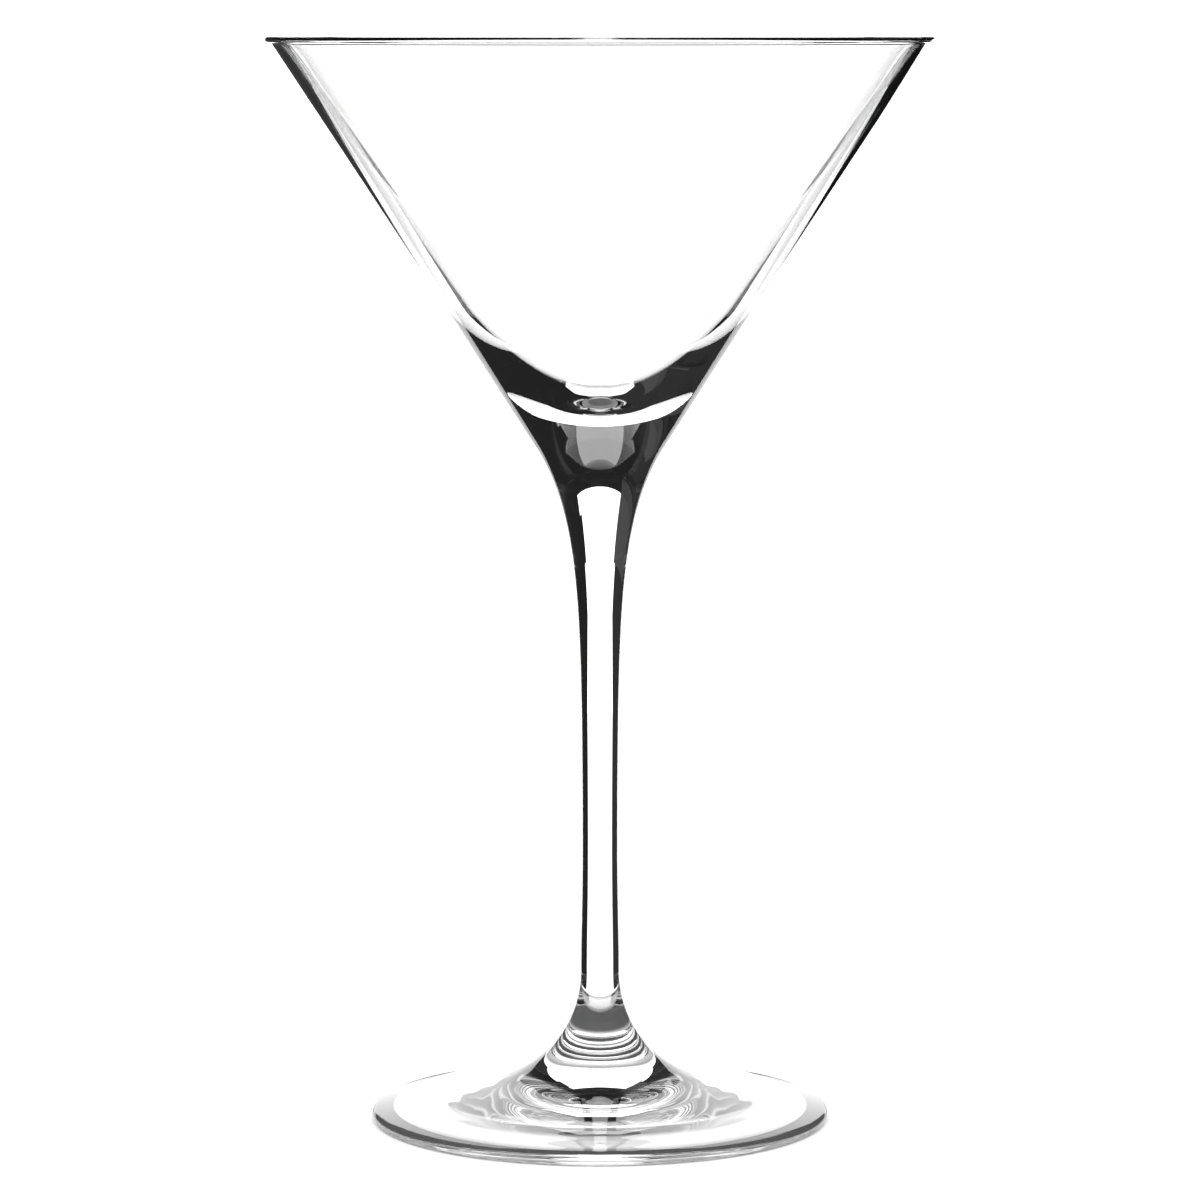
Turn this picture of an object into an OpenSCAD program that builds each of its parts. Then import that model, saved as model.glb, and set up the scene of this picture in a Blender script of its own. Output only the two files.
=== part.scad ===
// Martini glass: a wide conical bowl on a slender drawn stem and a round foot, all in clear glass.
// The three pieces are made apart and fused together hot, so they meet face to face at two seams.
// Millimetres. The origin is on the axis, in the plane that the foot rests on. +Z is up.

/* [Overall] */
// Height from the resting plane to the top of the lip
total_height = 179.7; // [168:0.1:192]
// Roundness of the curved surfaces
$fn = 96; // [48:8:160]

/* [Bowl] */
// Diameter across the outside of the bead on the lip
rim_diameter = 109.4; // [102:0.1:116]
// Angle between the outside of the bowl and the axis, in degrees
cone_angle = 33; // [32:0.5:34]
// Angle between the inside of the bowl and the axis: wider, so the side grows thicker downwards
inner_angle = 35.4; // [35:0.1:35.8]
// Thickness of the side just under the lip
wall = 0.8; // [0.7:0.02:1]
// Radius of the bead that the fire-polished lip ends in
bead = 0.44; // [0.3:0.02:0.5]
// Radius of the groove under the bead
bead_fillet = 0.94; // [0.7:0.02:1.2]
// Radius of the lip's inner corner
lip_corner = 0.5; // [0.3:0.05:0.6]
// Radius of the inside bottom at its centre
floor_radius = 14.3; // [12:0.1:18]
// Radius of the inside where the bottom runs out into the side
shoulder_radius = 98; // [60:1:120]
// How long the bottom keeps its small radius before it eases into the side
bend_power = 4; // [2:0.5:5]

/* [Stem] */
// Diameter at the waist, the narrowest place
waist_diameter = 5.8; // [5:0.1:8]
// Length over which the top flare widens by a factor of e
flare_length = 12; // [9:0.5:14]
// Extra radius where the stem comes down to the foot
heel_swell = 0.3; // [0:0.05:0.8]
// Length over which that extra radius fades out
heel_length = 12; // [6:0.5:20]
// Height of the seam between the stem and the bowl
bowl_seam_z = 100.5; // [95:0.5:104]

/* [Foot] */
// Diameter of the foot
foot_diameter = 76.1; // [70:0.1:84]
// Fall of the foot's top towards its edge, in degrees
foot_slope = 12.6; // [10:0.1:16]
// Radius of the fillet that carries the foot up into the stem
foot_fillet = 19; // [16:0.5:22]
// Thickness of the rounded edge
edge_thickness = 2.1; // [1.6:0.1:3]
// Width of the flat ring that the glass stands on
rest_width = 3; // [2:0.1:9]
// Height of the hollow under the middle of the foot
hollow_height = 3.65; // [1:0.05:4.5]
// Height of the seam between the foot and the stem
foot_seam_z = 19.5; // [17:0.5:22]

/* [Display] */
// Which piece to show

/* [Hidden] */
GLASS = [0.86, 0.91, 0.92, 0.45];
// Numbers of steps along the outline's curves, from the lip to the foot
groove_steps = 6;
bead_steps = 8;
corner_steps = 5;
floor_steps = 24;
flare_steps = 10;
stem_steps = 30;
heel_steps = 6;
fillet_steps = 14;
edge_steps = 10;
hollow_steps = 12;

// Lip: the bead, then the groove that turns from level under the bead down into the side
bead_centre = [rim_diameter / 2 - bead, total_height - bead];
groove_centre = bead_centre - [0, bead + bead_fillet];
side_top = groove_centre + bead_fillet * [-cos(cone_angle), sin(cone_angle)];
inner_top = side_top + wall * [-cos(cone_angle), sin(cone_angle)];
// Heights where the outside and the inside of the side would reach the axis
outer_apex = side_top[1] - side_top[0] / tan(cone_angle);
inner_apex = inner_top[1] - inner_top[0] / tan(inner_angle);
// The bead's arc starts a little past straight down, where the groove's arc has ended
bead_start = -75;
// The rounded corner between the inside and the top of the lip
corner_z = total_height - lip_corner;
corner_r = (corner_z - inner_apex) * tan(inner_angle) + lip_corner / cos(inner_angle);
// The top flare meets the side at the height where the two have the same slope
waist = waist_diameter / 2;
flare_gain = flare_length * tan(cone_angle);
flare_top = [waist + flare_gain, outer_apex + (waist + flare_gain) / tan(cone_angle)];
// Foot: centre of the rounded edge, then the fillet's foot and centre
edge = edge_thickness / 2;
edge_centre = [foot_diameter / 2 - edge, edge];
heel = waist + heel_swell;
fillet_foot_r = heel + foot_fillet * (1 - sin(foot_slope));
fillet_foot_z = edge_centre[1] + edge * cos(foot_slope)
    + tan(foot_slope) * (edge_centre[0] + edge * sin(foot_slope) - fillet_foot_r);
fillet_centre = [heel + foot_fillet, fillet_foot_z + foot_fillet * cos(foot_slope)];
fillet_top = asin((fillet_centre[1] - foot_seam_z) / foot_fillet);
// The stem's next point, just above the fillet's last one
stem_start = fillet_centre[1] + 1;
rest_inner = edge_centre[0] - rest_width;

// n + 1 even steps from a to b, and as many points on a circle about c from angle a to angle b
function steps(a, b, n) = [for (i = [0:n]) a + (b - a) * i / n];
function arc(c, r, a, b, n) = [for (t = steps(a, b, n)) c + r * [cos(t), sin(t)]];

// The inside bottom, from its centre out: it turns from level to the slope of the side,
// and its radius grows from floor_radius to shoulder_radius on the way
side_turn = 90 - inner_angle;
function floor_bend(slope) = floor_radius
    + (shoulder_radius - floor_radius) * pow(slope / side_turn, bend_power);
function floor_step(slope) =
    floor_bend(slope) * side_turn / floor_steps * PI / 180 * [cos(slope), sin(slope)];
function step_slope(i) = (i + 0.5) * side_turn / floor_steps;
floor_curve = [for (i = 0, p = [0, 0]; i <= floor_steps; p = p + floor_step(step_slope(i)), i = i + 1)
    p];
shoulder = floor_curve[floor_steps];
floor_z = inner_apex + shoulder[0] / tan(inner_angle) - shoulder[1];

// Radius of the stem at height z, from the top of the fillet to the top of the flare
function stem_radius(z) = waist + flare_gain * exp((z - flare_top[1]) / flare_length)
    + heel_swell * exp(-pow((z - fillet_centre[1]) / heel_length, 2));
function fillet_radius(z) = fillet_centre[0] - sqrt(pow(foot_fillet, 2) - pow(fillet_centre[1] - z, 2));
function stem_points(z0, z1, n) = [for (z = steps(z0, z1, n)) [stem_radius(z), z]];
function fillet_points(z0, z1, n) = [for (z = steps(z0, z1, n)) [fillet_radius(z), z]];

// Conical bowl with a thick solid bottom that runs down into the flare
module bowl() color(GLASS) rotate_extrude()
    polygon(concat(
        [[0, bowl_seam_z]],
        stem_points(bowl_seam_z, flare_top[1], flare_steps),
        arc(groove_centre, bead_fillet, 180 - cone_angle, 90, groove_steps),
        arc(bead_centre, bead, bead_start, 90, bead_steps),
        arc([corner_r, corner_z], lip_corner, 90, 180 - inner_angle, corner_steps),
        [for (i = [floor_steps:-1:0]) floor_curve[i] + [0, floor_z]]
    ));

// Drawn stem: flared at the top, slimmest low down, with a short heel onto the foot
module stem() color(GLASS) rotate_extrude()
    polygon(concat(
        [[0, foot_seam_z]],
        fillet_points(foot_seam_z, fillet_centre[1], heel_steps),
        stem_points(stem_start, bowl_seam_z, stem_steps),
        [[0, bowl_seam_z]]
    ));

// Round foot: a shallow cone with a rounded edge, hollowed underneath inside a resting ring
module foot() color(GLASS) rotate_extrude()
    polygon(concat(
        [[rest_inner, 0]],
        arc(edge_centre, edge, -90, 90 - foot_slope, edge_steps),
        arc(fillet_centre, foot_fillet, -90 - foot_slope, -180 + fillet_top, fillet_steps),
        [[0, foot_seam_z]],
        [for (f = steps(0, 1, hollow_steps)) if (f < 1) [rest_inner * f, hollow_height * (1 - pow(f, 2))]]
    ));

bowl();
stem();
foot();
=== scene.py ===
"""Martini glass: bowl, stem and foot of clear glass, fused at two seams, on a plain white studio floor."""

import math

import bpy
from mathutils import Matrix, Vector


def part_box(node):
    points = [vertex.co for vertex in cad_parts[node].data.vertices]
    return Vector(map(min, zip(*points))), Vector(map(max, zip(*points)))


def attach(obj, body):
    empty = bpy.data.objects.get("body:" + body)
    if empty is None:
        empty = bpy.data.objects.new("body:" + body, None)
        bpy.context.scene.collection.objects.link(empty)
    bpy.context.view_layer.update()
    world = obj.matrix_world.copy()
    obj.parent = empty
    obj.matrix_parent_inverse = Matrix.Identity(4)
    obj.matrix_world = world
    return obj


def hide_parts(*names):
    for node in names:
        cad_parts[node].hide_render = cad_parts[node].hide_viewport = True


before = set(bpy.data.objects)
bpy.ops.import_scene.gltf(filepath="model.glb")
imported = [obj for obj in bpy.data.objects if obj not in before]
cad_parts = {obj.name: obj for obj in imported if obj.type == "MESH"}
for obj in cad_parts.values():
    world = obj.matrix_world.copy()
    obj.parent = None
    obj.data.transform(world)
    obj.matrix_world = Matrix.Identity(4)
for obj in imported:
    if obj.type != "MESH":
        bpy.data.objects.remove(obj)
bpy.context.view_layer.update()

MM = 0.001
# A quarter turn, in radians
QUARTER = math.pi / 2

# ---------------------------------------------------------------- sizes, in millimetres, as in the CAD part
TOTAL_HEIGHT = 179.7
RIM_DIAMETER = 109.4
FOOT_DIAMETER = 76.1

# The stem's box ends at the two seams
stem_low, stem_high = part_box("stem")
BOWL_SEAM_Z = stem_high.z / MM
FOOT_SEAM_Z = stem_low.z / MM

# Bowl: the angles of its outside and its inside to the axis, its wall just under the lip, and the radii of
# the bead, the groove under it, the lip's inner corner, and the inside bottom at its centre and at its end.
# The larger the bend power, the longer the bottom keeps its small radius.
CONE_ANGLE = math.radians(33)
INNER_ANGLE = math.radians(35.4)
WALL = 0.8
BEAD = 0.44
GROOVE = 0.94
LIP_CORNER = 0.5
FLOOR_RADIUS = 14.3
SHOULDER_RADIUS = 98.0
BEND_POWER = 4

# Stem: its radius at the waist, and how its top flare and its heel widen
WAIST = 2.9
FLARE_LENGTH = 12.0
HEEL_SWELL = 0.3
HEEL_LENGTH = 12.0

# Foot: the fall of its top, the fillet up to the stem, the radius of its edge, and its underside
FOOT_SLOPE = math.radians(12.6)
FOOT_FILLET = 19.0
EDGE = 1.05
REST_WIDTH = 3.0
HOLLOW_HEIGHT = 3.65

# Numbers of steps along the outline's curves and straight runs, from the lip to the foot, and round the axis
GROOVE_STEPS = 16
BEAD_STEPS = 40
CORNER_STEPS = 16
SIDE_STEPS = 60
FLOOR_STEPS = 96
FLARE_STEPS = 40
STEM_STEPS = 120
HEEL_STEPS = 12
FILLET_STEPS = 48
SLOPE_STEPS = 24
EDGE_STEPS = 32
HOLLOW_STEPS = 60
AROUND = 256

# Two heights or radii that are closer than this are the same
CLOSE = 1e-6

# ---------------------------------------------------------------- the outline's fixed points
CONE_TAN = math.tan(CONE_ANGLE)
BEAD_CENTRE = (RIM_DIAMETER / 2 - BEAD, TOTAL_HEIGHT - BEAD)
GROOVE_CENTRE = (BEAD_CENTRE[0], BEAD_CENTRE[1] - BEAD - GROOVE)
SIDE_TOP = (
    GROOVE_CENTRE[0] - GROOVE * math.cos(CONE_ANGLE),
    GROOVE_CENTRE[1] + GROOVE * math.sin(CONE_ANGLE),
)
INNER_TOP = (SIDE_TOP[0] - WALL * math.cos(CONE_ANGLE), SIDE_TOP[1] + WALL * math.sin(CONE_ANGLE))
# Heights where the outside and the inside of the side would reach the axis
OUTER_APEX = SIDE_TOP[1] - SIDE_TOP[0] / CONE_TAN
INNER_APEX = INNER_TOP[1] - INNER_TOP[0] / math.tan(INNER_ANGLE)
LIP_CORNER_Z = TOTAL_HEIGHT - LIP_CORNER
LIP_CORNER_R = (LIP_CORNER_Z - INNER_APEX) * math.tan(INNER_ANGLE) + LIP_CORNER / math.cos(INNER_ANGLE)
SIDE_TURN = QUARTER - INNER_ANGLE
# The flare meets the side at the height where the two have the same slope
FLARE_GAIN = FLARE_LENGTH * CONE_TAN
FLARE_TOP = OUTER_APEX + (WAIST + FLARE_GAIN) / CONE_TAN
EDGE_CENTRE = (FOOT_DIAMETER / 2 - EDGE, EDGE)
HEEL = WAIST + HEEL_SWELL
FILLET_FOOT_R = HEEL + FOOT_FILLET * (1 - math.sin(FOOT_SLOPE))
FILLET_FOOT_Z = (
    EDGE
    + EDGE * math.cos(FOOT_SLOPE)
    + math.tan(FOOT_SLOPE) * (EDGE_CENTRE[0] + EDGE * math.sin(FOOT_SLOPE) - FILLET_FOOT_R)
)
FILLET_CENTRE = (HEEL + FOOT_FILLET, FILLET_FOOT_Z + FOOT_FILLET * math.cos(FOOT_SLOPE))
# The inner edge of the resting ring
REST_INNER = (EDGE_CENTRE[0] - REST_WIDTH, 0)


# ---------------------------------------------------------------- profiles: lists of (radius, height)
def steps(a, b, n):
    """n + 1 evenly spaced values from a to b."""
    return [a + (b - a) * i / n for i in range(n + 1)]


def arc(centre, radius, a, b, n):
    """Points on a circle from angle a to angle b."""
    return [(centre[0] + radius * math.cos(t), centre[1] + radius * math.sin(t)) for t in steps(a, b, n)]


def line(start, end, n):
    """Points strictly between two points."""
    return [tuple(p + (q - p) * f for p, q in zip(start, end)) for f in steps(0, 1, n)][1:-1]


def floor_curve():
    """The bowl's inside bottom from its centre out to the side: the bend radius grows with the slope."""
    points = [(0.0, 0.0)]
    step = SIDE_TURN / FLOOR_STEPS
    for i in range(FLOOR_STEPS):
        slope = (i + 0.5) * step
        bend = FLOOR_RADIUS + (SHOULDER_RADIUS - FLOOR_RADIUS) * (slope / SIDE_TURN) ** BEND_POWER
        r, z = points[-1]
        points.append((r + bend * math.cos(slope) * step, z + bend * math.sin(slope) * step))
    return points


def stem_radius(z):
    """Radius of the stem at height z, above the fillet and up to the top of the flare."""
    return (
        WAIST
        + FLARE_GAIN * math.exp((z - FLARE_TOP) / FLARE_LENGTH)
        + HEEL_SWELL * math.exp(-(((z - FILLET_CENTRE[1]) / HEEL_LENGTH) ** 2))
    )


def fillet_radius(z):
    """Radius of the fillet between the foot and the stem at height z."""
    return FILLET_CENTRE[0] - math.sqrt(FOOT_FILLET**2 - (FILLET_CENTRE[1] - z) ** 2)


def bowl_profile():
    """From the seam up the flare and the outside, round the lip, and down the inside to its middle."""
    flare = [(stem_radius(z), z) for z in steps(BOWL_SEAM_Z, FLARE_TOP, FLARE_STEPS)]
    lip = (
        arc(GROOVE_CENTRE, GROOVE, math.pi - CONE_ANGLE, QUARTER, GROOVE_STEPS)
        + arc(BEAD_CENTRE, BEAD, -QUARTER, QUARTER, BEAD_STEPS)[1:]
        + arc((LIP_CORNER_R, LIP_CORNER_Z), LIP_CORNER, QUARTER, math.pi - INNER_ANGLE, CORNER_STEPS)
    )
    curve = floor_curve()
    shoulder_r, shoulder_rise = curve[-1]
    floor_z = INNER_APEX + shoulder_r / math.tan(INNER_ANGLE) - shoulder_rise
    bottom = [(r, floor_z + z) for r, z in reversed(curve)]
    outside = line(flare[-1], lip[0], SIDE_STEPS)
    inside = line(lip[-1], bottom[0], SIDE_STEPS)
    return [(0, BOWL_SEAM_Z)] + flare + outside + lip + inside + bottom


def stem_profile():
    """From the lower seam up the top of the fillet and the stem to the upper seam."""
    return (
        [(0, FOOT_SEAM_Z)]
        + [(fillet_radius(z), z) for z in steps(FOOT_SEAM_Z, FILLET_CENTRE[1], HEEL_STEPS)]
        + [(stem_radius(z), z) for z in steps(FILLET_CENTRE[1], BOWL_SEAM_Z, STEM_STEPS)[1:]]
        + [(0, BOWL_SEAM_Z)]
    )


def foot_profile():
    """From the resting ring round the edge, up the top and the fillet to the seam, then along the hollow."""
    fillet_top = math.asin((FILLET_CENTRE[1] - FOOT_SEAM_Z) / FOOT_FILLET)
    fillet = arc(FILLET_CENTRE, FOOT_FILLET, -QUARTER - FOOT_SLOPE, -math.pi + fillet_top, FILLET_STEPS)
    edge = arc(EDGE_CENTRE, EDGE, -QUARTER, QUARTER - FOOT_SLOPE, EDGE_STEPS)
    top = line(edge[-1], fillet[0], SLOPE_STEPS)
    hollow = [(REST_INNER[0] * f, HOLLOW_HEIGHT * (1 - f**2)) for f in steps(0, 1, HOLLOW_STEPS)]
    return [REST_INNER] + edge + top + fillet + [(0, FOOT_SEAM_Z), (0, HOLLOW_HEIGHT)] + hollow[1:-1]


# ---------------------------------------------------------------- meshes
def on_seam(z, seams):
    return any(abs(z - seam) < CLOSE for seam in seams)


def lathe(name, profile, seams):
    """A closed mesh of the profile turned about the axis. Faces on a seam get the second material."""
    verts = []
    rings = []
    for r, z in profile:
        turns = [2 * math.pi * k / AROUND for k in range(AROUND if r > CLOSE else 1)]
        rings.append(range(len(verts), len(verts) + len(turns)))
        verts += [(r * math.cos(t) * MM, r * math.sin(t) * MM, z * MM) for t in turns]
    faces = []
    for a, b in zip(rings, rings[1:] + rings[:1]):
        for k in range(AROUND):
            j = (k + 1) % AROUND
            if len(a) > 1 and len(b) > 1:
                faces.append((a[k], a[j], b[j], b[k]))
            elif len(b) > 1:
                faces.append((a[0], b[j], b[k]))
            elif len(a) > 1:
                faces.append((a[k], a[j], b[0]))
    mesh = bpy.data.meshes.new(name)
    mesh.from_pydata(verts, [], faces)
    mesh.validate()
    for face in mesh.polygons:
        fused = all(on_seam(verts[v][2] / MM, seams) for v in face.vertices)
        face.material_index = 1 if fused else 0
        face.use_smooth = not fused
    # Creases at the seams and at the inner edge of the resting ring
    creased = set()
    for (r, z), ring in zip(profile, rings):
        if (r, z) == REST_INNER or (r > CLOSE and on_seam(z, seams)):
            creased.update(ring)
    sharp = mesh.attributes.new("sharp_edge", "BOOLEAN", "EDGE")
    for edge in mesh.edges:
        sharp.data[edge.index].value = creased.issuperset(edge.vertices)
    obj = bpy.data.objects.new(name, mesh)
    bpy.context.collection.objects.link(obj)
    return obj


# ---------------------------------------------------------------- look of the glass, in metres
GLASS_IOR = 1.52
# Faint waves all over
WAVE_SIZE = 0.03
WAVE_DEPTH = 0.00002
# Spun rings on the foot, which fade out between two heights
SPUN_SCALE = 90.0
SPUN_WANDER = 3.0
SPUN_WANDER_DETAIL = 2.0
SPUN_WANDER_SCALE = 0.2
SPUN_DEPTH = 0.000004
SPUN_TOP = 0.018
SPUN_BOTTOM = 0.012
# Roughness in soft spots, which start at one level of the noise and are full at another
HAZE = 0.01
HAZE_SIZE = 0.01
HAZE_DETAIL = 2.0
HAZE_START = 0.5
HAZE_FULL = 0.75


def new_material(name):
    mat = bpy.data.materials.new(name)
    mat.use_nodes = True
    mat.node_tree.nodes.clear()
    out = mat.node_tree.nodes.new("ShaderNodeOutputMaterial")
    return mat, mat.node_tree, out


def noise(tree, coordinates, size, detail):
    """Noise whose features are about this size, in metres."""
    node = tree.nodes.new("ShaderNodeTexNoise")
    node.inputs["Scale"].default_value = 1 / size
    node.inputs["Detail"].default_value = detail
    tree.links.new(coordinates, node.inputs["Vector"])
    return node.outputs["Fac"]


def math_node(tree, operation, *values):
    """A sum or product of values that are numbers or sockets."""
    node = tree.nodes.new("ShaderNodeMath")
    node.operation = operation
    for socket, value in zip(node.inputs, values):
        if isinstance(value, (int, float)):
            socket.default_value = value
        else:
            tree.links.new(value, socket)
    return node.outputs[0]


def ramp(tree, value, start, full, height=1.0):
    """Zero at start and before it, the height at full and past it, and a straight run between them."""
    node = tree.nodes.new("ShaderNodeMapRange")
    node.inputs["From Min"].default_value = start
    node.inputs["From Max"].default_value = full
    node.inputs["To Min"].default_value = 0.0
    node.inputs["To Max"].default_value = height
    tree.links.new(value, node.inputs["Value"])
    return node.outputs[0]


def glass_material():
    """Clear glass, not quite even: faint waves everywhere, spun rings on the foot, and a breath of haze."""
    mat, tree, out = new_material("clear_glass")
    shader = tree.nodes.new("ShaderNodeBsdfPrincipled")
    shader.inputs["Base Color"].default_value = (1, 1, 1, 1)
    shader.inputs["IOR"].default_value = GLASS_IOR
    shader.inputs["Transmission Weight"].default_value = 1.0
    coordinates = tree.nodes.new("ShaderNodeTexCoord").outputs["Object"]

    spots = noise(tree, coordinates, HAZE_SIZE, HAZE_DETAIL)
    haze = ramp(tree, spots, HAZE_START, HAZE_FULL, HAZE)
    tree.links.new(haze, shader.inputs["Roughness"])

    rings = tree.nodes.new("ShaderNodeTexWave")
    rings.wave_type = "RINGS"
    rings.rings_direction = "Z"
    rings.inputs["Scale"].default_value = SPUN_SCALE
    rings.inputs["Distortion"].default_value = SPUN_WANDER
    rings.inputs["Detail"].default_value = SPUN_WANDER_DETAIL
    rings.inputs["Detail Scale"].default_value = SPUN_WANDER_SCALE
    tree.links.new(coordinates, rings.inputs["Vector"])
    height = tree.nodes.new("ShaderNodeSeparateXYZ")
    tree.links.new(coordinates, height.inputs[0])
    on_foot = ramp(tree, height.outputs["Z"], SPUN_TOP, SPUN_BOTTOM)
    ringed = math_node(tree, "MULTIPLY", rings.outputs["Fac"], on_foot)
    waves = math_node(tree, "MULTIPLY", noise(tree, coordinates, WAVE_SIZE, 0.0), WAVE_DEPTH)
    surface = math_node(tree, "ADD", waves, math_node(tree, "MULTIPLY", ringed, SPUN_DEPTH))
    bump = tree.nodes.new("ShaderNodeBump")
    bump.inputs["Distance"].default_value = 1.0
    tree.links.new(surface, bump.inputs["Height"])
    tree.links.new(bump.outputs["Normal"], shader.inputs["Normal"])
    tree.links.new(shader.outputs[0], out.inputs["Surface"])
    return mat


def seam_material():
    """Light passes a fused seam as if it weren't there."""
    mat, tree, out = new_material("fused_seam")
    shader = tree.nodes.new("ShaderNodeBsdfTransparent")
    tree.links.new(shader.outputs[0], out.inputs["Surface"])
    return mat


glass = glass_material()
fused_seam = seam_material()

for name, profile, seams in (
    ("bowl", bowl_profile(), [BOWL_SEAM_Z]),
    ("stem", stem_profile(), [BOWL_SEAM_Z, FOOT_SEAM_Z]),
    ("foot", foot_profile(), [FOOT_SEAM_Z]),
):
    piece = lathe(name + "_glass", profile, seams)
    piece.data.materials.append(glass)
    piece.data.materials.append(fused_seam)
    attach(piece, "root")
    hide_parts(name)

# ---------------------------------------------------------------- floor and background
BACKGROUND = 1.8
FLOOR_GREY = 0.85
# Half the width of the floor, in metres. It and the background are both pure white, so its end doesn't show.
FLOOR_REACH = 60
# Light that the floor gives off by itself, to make up for the light that the renderer doesn't let through the
# glass: a little everywhere, and more in a ring under the foot. The ring's glow rises between the first two
# radii and falls between the last two.
FLOOR_GLOW = 0.04
RING_GLOW = 0.6
RING_INNER = (0.014, 0.020)
RING_OUTER = (0.034, 0.031)


def studio_object(name, verts, faces, mat):
    mesh = bpy.data.meshes.new(name)
    mesh.from_pydata(verts, [], faces)
    mesh.materials.append(mat)
    obj = bpy.data.objects.new(name, mesh)
    bpy.context.collection.objects.link(obj)
    return obj


def floor_material():
    """Matt white that glows faintly, and more in a ring under the foot."""
    mat, tree, out = new_material("white_floor")
    shader = tree.nodes.new("ShaderNodeBsdfPrincipled")
    shader.inputs["Base Color"].default_value = (FLOOR_GREY, FLOOR_GREY, FLOOR_GREY, 1)
    shader.inputs["Roughness"].default_value = 1.0
    shader.inputs["Specular IOR Level"].default_value = 0.0
    shader.inputs["Emission Color"].default_value = (1, 1, 1, 1)
    radius = tree.nodes.new("ShaderNodeVectorMath")
    radius.operation = "LENGTH"
    tree.links.new(tree.nodes.new("ShaderNodeTexCoord").outputs["Object"], radius.inputs[0])
    in_ring = [ramp(tree, radius.outputs["Value"], *limits) for limits in (RING_INNER, RING_OUTER)]
    ring_glow = math_node(tree, "MULTIPLY", math_node(tree, "MULTIPLY", *in_ring), RING_GLOW)
    glow = math_node(tree, "ADD", ring_glow, FLOOR_GLOW)
    tree.links.new(glow, shader.inputs["Emission Strength"])
    tree.links.new(shader.outputs[0], out.inputs["Surface"])
    return mat


FLOOR_CORNERS = [(x * FLOOR_REACH, y * FLOOR_REACH, 0) for x, y in ((-1, -1), (1, -1), (1, 1), (-1, 1))]
studio_object("floor", FLOOR_CORNERS, [(0, 1, 2, 3)], floor_material())

world = bpy.data.worlds.new("studio")
bpy.context.scene.world = world
world.use_nodes = True
world.node_tree.nodes["Background"].inputs["Color"].default_value = (1, 1, 1, 1)
world.node_tree.nodes["Background"].inputs["Strength"].default_value = BACKGROUND

# ---------------------------------------------------------------- camera, in metres; lens and sensor in mm
CAMERA_DISTANCE = 0.839
CAMERA_HEIGHT = 0.181
CAMERA_PITCH = math.radians(6.39)
LENS = 153.0
SENSOR = 36.0
NEAREST = 0.01
FARTHEST = 1000.0

camera_data = bpy.data.cameras.new("camera")
camera_data.lens = LENS
camera_data.sensor_width = SENSOR
camera_data.clip_start = NEAREST
camera_data.clip_end = FARTHEST
camera = bpy.data.objects.new("camera", camera_data)
bpy.context.collection.objects.link(camera)
camera.location = (0, -CAMERA_DISTANCE, CAMERA_HEIGHT)
camera.rotation_euler = (QUARTER - CAMERA_PITCH, 0, 0)
bpy.context.scene.camera = camera

# ---------------------------------------------------------------- dark drum, in metres
# A dark drum stands round the glass, and only the glass sees it. Behind the glass it has a bright window,
# which spreads towards the floor. The drum's floor leaves the white floor bare in a disc under the glass and
# in front of the window. Its roof has a soft patch of light in the middle. The left half of its wall and
# floor is a little lighter than the rest. It turns about the upright axis with the camera, as if someone
# turned the glass on its stand.
DRUM_RADIUS = 0.6
DRUM_HEIGHT = 0.48
# Half widths of the window, above and at the floor, and the height where it stops spreading
WINDOW = math.radians(24)
FLOOR_WINDOW = math.radians(32)
WINDOW_FOOT = 0.06
# Radius of the disc of white floor under the glass
BARE_RADIUS = 0.045
# The drum's floor lies just above the white floor
FLOOR_GAP = 0.0005
SKYLIGHT_RADIUS = 0.12
SKYLIGHT_STRENGTH = 0.35
WINDOW_STRENGTH = 2.1
DARK_LEFT = 0.03
DARK_RIGHT = 0.015
# Three dark flags hang closer behind the glass. The two beside the bowl draw the dark edges of its sides, and
# the one above it draws the line under the bead. Each has a left and a right side, a bottom and a top.
FLAG_DISTANCE = 0.2
FLAG_LEFT = (-0.30, -0.076, 0.104, 0.23)
FLAG_RIGHT = (0.076, 0.30, 0.104, 0.15)
FLAG_ABOVE = (-0.30, 0.30, 0.185, 0.24)
FLAG_GREY = 0.075
BAND_STEPS = 72

drum_turn = bpy.data.objects.new("drum_turn", None)
bpy.context.collection.objects.link(drum_turn)
turn = drum_turn.constraints.new("LOCKED_TRACK")
turn.target = camera
turn.track_axis = "TRACK_NEGATIVE_Y"
turn.lock_axis = "LOCK_Z"


def emission_material(name, strength):
    mat, tree, out = new_material(name)
    shader = tree.nodes.new("ShaderNodeEmission")
    shader.inputs["Strength"].default_value = strength
    tree.links.new(shader.outputs[0], out.inputs["Surface"])
    return mat


def card(name, verts, faces, mat):
    """A card that turns with the camera and that only the glass sees."""
    obj = studio_object(name, verts, faces, mat)
    obj.visible_camera = False
    obj.visible_diffuse = False
    obj.visible_shadow = False
    obj.parent = drum_turn


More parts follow.
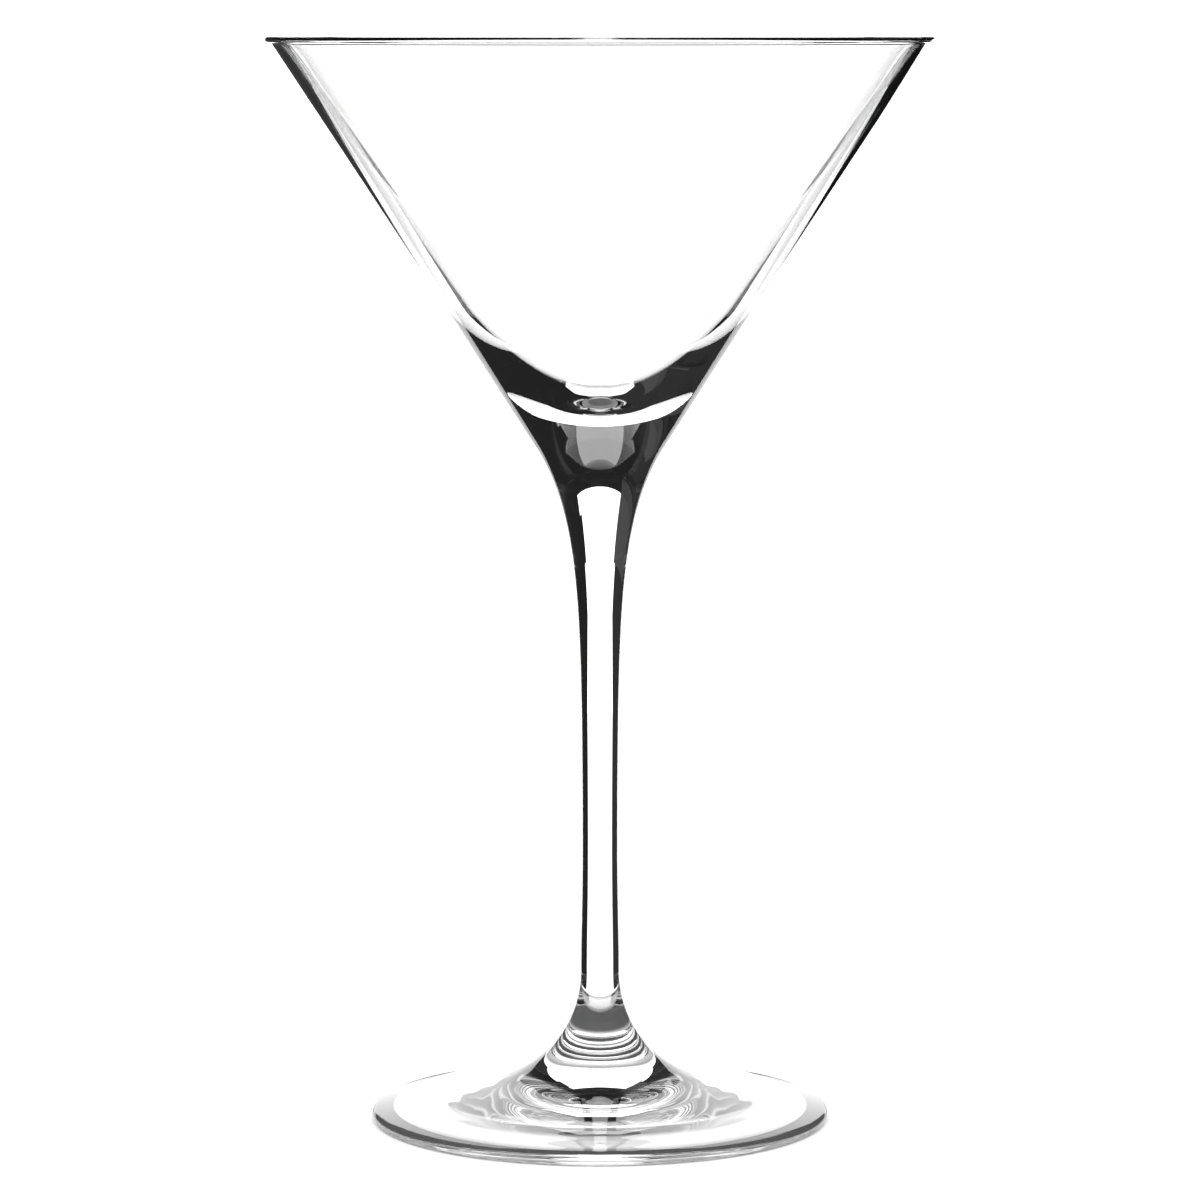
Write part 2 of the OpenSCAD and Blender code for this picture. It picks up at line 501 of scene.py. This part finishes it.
def band(name, rings, mat):
    """A strip of card between two rings, each a radius, a height and two azimuths from straight behind."""
    verts = []
    for f in steps(0, 1, BAND_STEPS):
        for r, z, start, end in rings:
            t = start + (end - start) * f
            verts.append((r * math.sin(t), r * math.cos(t), z))
    faces = [(2 * i, 2 * i + 1, 2 * i + 3, 2 * i + 2) for i in range(BAND_STEPS)]
    card(name, verts, faces, mat)


def flag(name, left, right, bottom, top, mat):
    corners = [(left, bottom), (right, bottom), (right, top), (left, top)]
    card(name, [(x, FLAG_DISTANCE, z) for x, z in corners], [(0, 1, 2, 3)], mat)


window = emission_material("window", WINDOW_STRENGTH)
skylight = emission_material("skylight", SKYLIGHT_STRENGTH)
dark_left = emission_material("dark_card_left", DARK_LEFT)
dark_right = emission_material("dark_card_right", DARK_RIGHT)

# Heights of the wall's edges, with the half width of the window at each
wall_edges = [(0, FLOOR_WINDOW), (WINDOW_FOOT, WINDOW), (DRUM_HEIGHT, WINDOW)]
for part, ends in zip(("low", "high"), zip(wall_edges, wall_edges[1:])):
    band("drum_window_" + part, [(DRUM_RADIUS, z, -half, half) for z, half in ends], window)
    band("drum_right_" + part, [(DRUM_RADIUS, z, half, math.pi) for z, half in ends], dark_right)
    band("drum_left_" + part, [(DRUM_RADIUS, z, -math.pi, -half) for z, half in ends], dark_left)
floor_radii = (BARE_RADIUS, DRUM_RADIUS)
band("drum_floor_right", [(r, FLOOR_GAP, FLOOR_WINDOW, math.pi) for r in floor_radii], dark_right)
band("drum_floor_left", [(r, FLOOR_GAP, -math.pi, -FLOOR_WINDOW) for r in floor_radii], dark_left)
roof_radii = (SKYLIGHT_RADIUS, DRUM_RADIUS)
band("drum_roof", [(r, DRUM_HEIGHT, 0, 2 * math.pi) for r in roof_radii], dark_right)
band("drum_skylight", [(r, DRUM_HEIGHT, 0, 2 * math.pi) for r in (0, SKYLIGHT_RADIUS)], skylight)
flag("flag_left", *FLAG_LEFT, emission_material("grey_flag", FLAG_GREY))
flag("flag_right", *FLAG_RIGHT, dark_right)
flag("flag_above", *FLAG_ABOVE, dark_right)

# Light has to bounce many times inside the thick glass before it gets out again
BOUNCES = 32
cycles = bpy.context.scene.cycles
cycles.max_bounces = BOUNCES
cycles.transmission_bounces = BOUNCES
cycles.glossy_bounces = BOUNCES
bpy.context.scene.view_settings.view_transform = "Standard"
